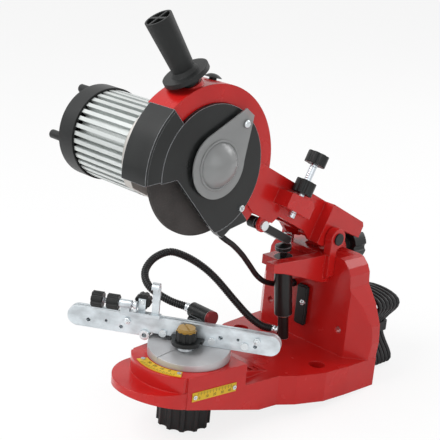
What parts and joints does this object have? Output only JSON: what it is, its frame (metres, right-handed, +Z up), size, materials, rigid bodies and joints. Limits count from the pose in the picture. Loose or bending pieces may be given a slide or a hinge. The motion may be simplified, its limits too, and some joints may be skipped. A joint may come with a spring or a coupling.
{
  "type": "electric chainsaw sharpener",
  "caption": "Bench grinder for saw chain with a sprung tilting head, guarded wheel and swivelling vise clamped by a small hydraulic cylinder.",
  "frame": {"origin": "midway between the two bench bolt holes, on the plane of the base's underside", "axes": "+X operator's right, +Y to the back, +Z up"},
  "size_m": [0.289, 0.3983, 0.446],
  "materials": {
    "red_casting": "glossy red paint on cast aluminium",
    "scale_yellow": "printed plate",
    "zinc": "bright zinc",
    "jaw_steel": "zinc-plated sheet",
    "bare_aluminium": "machined casting",
    "fin_aluminium": "bright ribs",
    "taupe_casting": "fine cast surface",
    "black_plastic": "moulded",
    "black_paint": "satin black paint",
    "dial_brown": "dial",
    "dark_red_cap": "anodised",
    "copper": "copper ring",
    "hose_rubber": "spiral-wrapped rubber",
    "cord_rubber": "smooth sheath",
    "clear_window": "clear moulded",
    "abrasive": "vitrified abrasive, coarse",
    "motor_iron": "laminations"
  },
  "bodies": {
    "base": {"base_casting": "red_casting", "angle_scales": "scale_yellow", "scale_screws": "zinc", "cord_gland": "black_plastic", "power_cord": "cord_rubber", "cord_hank": "cord_rubber", "plug": "black_plastic", "hydraulic_hose": "hose_rubber", "motor_lead": "cord_rubber"},
    "base_lock": {"lock_knob": "black_plastic"},
    "vise": {"pivot_stud": "zinc", "turntable": "bare_aluminium", "jaw_stand": "bare_aluminium", "fixed_jaw": "jaw_steel", "jaw_screws": "zinc", "roll_pin": "zinc", "tension_plate": "black_plastic", "tension_washer": "zinc", "slave_cylinder": "black_paint", "slave_end_cap": "dark_red_cap", "stop_arm": "jaw_steel"},
    "tension": {"tension_knob": "black_plastic", "tension_dial": "dial_brown"},
    "rear_jaw": {"moving_jaw": "jaw_steel", "jaw_piston": "zinc"},
    "stop_rod": {"stop_screw": "zinc", "stop_end_knob": "black_plastic"},
    "stop_lock": {"stop_lock_knob": "black_plastic"},
    "stop_clamp": {"stop_arm_knob": "black_plastic"},
    "pawl": {"chain_pawl": "zinc"},
    "bracket": {"head_bracket": "red_casting", "tilt_stud": "zinc", "hinge_pin": "zinc", "master_cylinder": "black_paint", "cylinder_ring": "copper", "return_spring": "black_paint"},
    "tilt_lock": {"tilt_knob": "black_plastic"},
    "hydraulic_plunger": {"plunger": "black_paint"},
    "head": {"head_arm": "red_casting", "link_bolt": "zinc", "wheel_shroud": "black_paint", "guard_lid": "black_paint", "lid_screws": "zinc", "stator": "motor_iron", "motor_housing": "fin_aluminium", "end_shield": "taupe_casting", "bearings": "zinc", "fan_cowl": "black_plastic", "handle": "black_plastic"},
    "link": {"link_bar": "black_paint"},
    "depth_stop": {"depth_screw": "zinc"},
    "depth_lock": {"depth_lock_knob": "black_plastic"},
    "window": {"wheel_window": "clear_window"},
    "spindle": {"grinding_wheel": "abrasive", "wheel_flanges": "zinc", "spindle_nut": "zinc", "motor_shaft": "zinc", "rotor": "motor_iron", "cooling_fan": "black_plastic"},
    "switch": {"switch_button": "black_plastic"}
  },
  "joints": [
    {"name": "vise_swivel", "type": "hinge", "parent": "base", "child": "vise", "pos_m": [0, -0.145, 0.06], "axis": [0, 0, 1], "range_deg": [-70, 0], "deforming": ["hydraulic_hose"]},
    {"name": "base_lock_turn", "type": "hinge", "parent": "base", "child": "base_lock", "pos_m": [0, -0.145, 0], "axis": [0, 0, 1], "range_deg": [-90, 90]},
    {"name": "tension_turn", "type": "hinge", "parent": "vise", "child": "tension", "pos_m": [0.00524, -0.15598, 0.08], "axis": [0, 0, 1], "range_deg": [-150, 150]},
    {"name": "jaw_close", "type": "slide", "parent": "vise", "child": "rear_jaw", "axis": [0.5736, -0.8192, 0], "range_m": [0, 0.0012]},
    {"name": "stop_slide", "type": "slide", "parent": "vise", "child": "stop_rod", "axis": [0.8192, 0.5736, 0], "range_m": [-0.002, 0.005]},
    {"name": "stop_lock_turn", "type": "hinge", "parent": "vise", "child": "stop_lock", "pos_m": [-0.0693, -0.19597, 0.108], "axis": [0.8192, 0.5736, 0], "range_deg": [-90, 90]},
    {"name": "stop_clamp_turn", "type": "hinge", "parent": "vise", "child": "stop_clamp", "pos_m": [-0.04817, -0.17384, 0.11], "axis": [-0.5736, 0.8192, 0], "range_deg": [-90, 90]},
    {"name": "pawl_flip", "type": "hinge", "parent": "stop_rod", "child": "pawl", "pos_m": [-0.04964, -0.1822, 0.108], "axis": [0.8192, 0.5736, 0], "range_deg": [-100, 0]},
    {"name": "head_tilt", "type": "hinge", "parent": "base", "child": "bracket", "pos_m": [0, 0.04, 0.145], "axis": [0, 1, 0], "range_deg": [0, 10]},
    {"name": "tilt_lock_turn", "type": "hinge", "parent": "bracket", "child": "tilt_lock", "pos_m": [0, 0.11, 0.145], "axis": [0, 1, 0], "range_deg": [-90, 90]},
    {"name": "head_swing", "type": "hinge", "parent": "bracket", "child": "head", "pos_m": [0, 0.0405, 0.1717], "axis": [1, 0, 0], "range_deg": [0, 28], "stiffness_Nm_per_rad": 6, "springref_deg": -148.97, "deforming": ["return_spring", "motor_lead"]},
    {"name": "plunger_stroke", "type": "slide", "parent": "bracket", "child": "hydraulic_plunger", "axis": [0, 0.1507, -0.9886], "range_m": [0, 0.009]},
    {"name": "link_pivot", "type": "hinge", "parent": "head", "child": "link", "pos_m": [0, -0.06306, 0.19799], "axis": [1, 0, 0], "range_deg": [0, 14]},
    {"name": "depth_adjust", "type": "slide", "parent": "head", "child": "depth_stop", "axis": [0, -0.4617, -0.887], "range_m": [-0.01, 0.009]},
    {"name": "depth_lock_turn", "type": "hinge", "parent": "head", "child": "depth_lock", "pos_m": [0.0262, -0.0198, 0.23128], "axis": [0, 0.4617, 0.887], "range_deg": [-90, 90]},
    {"name": "window_swing", "type": "hinge", "parent": "head", "child": "window", "pos_m": [0.02, -0.11181, 0.31637], "axis": [1, 0, 0], "range_deg": [0, 90]},
    {"name": "spindle_spin", "type": "hinge", "parent": "head", "child": "spindle", "pos_m": [0, -0.14835, 0.27001], "axis": [1, 0, 0], "continuous": true},
    {"name": "button_press", "type": "slide", "parent": "head", "child": "switch", "axis": [0, -0.1822, -0.9833], "range_m": [0, 0.0018], "stiffness_N_per_m": 400, "springref_m": -0.002}
  ],
  "couplings": [
    {"joint": "jaw_close", "follows": "head_swing", "m_per_rad": 0.00245},
    {"joint": "plunger_stroke", "follows": "head_swing", "m_per_rad": 0.0176},
    {"joint": "link_pivot", "follows": "head_swing", "ratio": 0.486}
  ]
}
